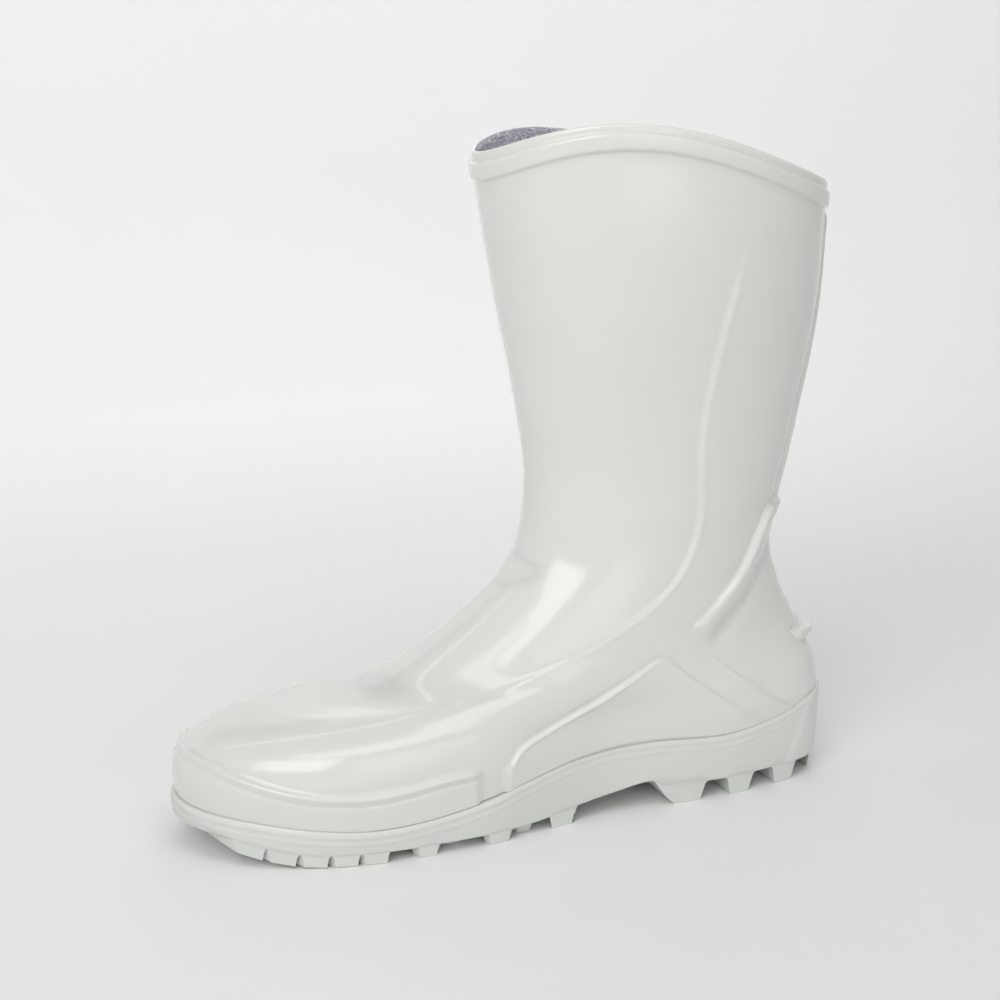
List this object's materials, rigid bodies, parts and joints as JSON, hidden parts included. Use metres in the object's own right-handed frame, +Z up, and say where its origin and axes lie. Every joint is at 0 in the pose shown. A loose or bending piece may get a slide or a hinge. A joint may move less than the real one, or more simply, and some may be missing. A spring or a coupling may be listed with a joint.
{
  "type": "waterproof work boot",
  "caption": "White moulded calf-high waterproof work boot with a lugged outsole, toe rand, heel counter wings and kick-off spur.",
  "frame": {"origin": "on the ground under the middle of the boot's bounding box", "axes": "+X to the toe, +Y to the wearer's left, which is the outer side of this left boot, +Z up the shaft"},
  "size_m": [0.2992, 0.1088, 0.2927],
  "materials": {
    "upper_pvc": "glossy moulded PVC, white with a faint green-grey tint",
    "outsole_pvc": "satin moulded PVC, white",
    "insole_felt": "grey knitted and felted footbed"
  },
  "bodies": {
    "root": {"upper": "upper_pvc", "outsole": "outsole_pvc", "insole": "insole_felt"}
  },
  "joints": []
}
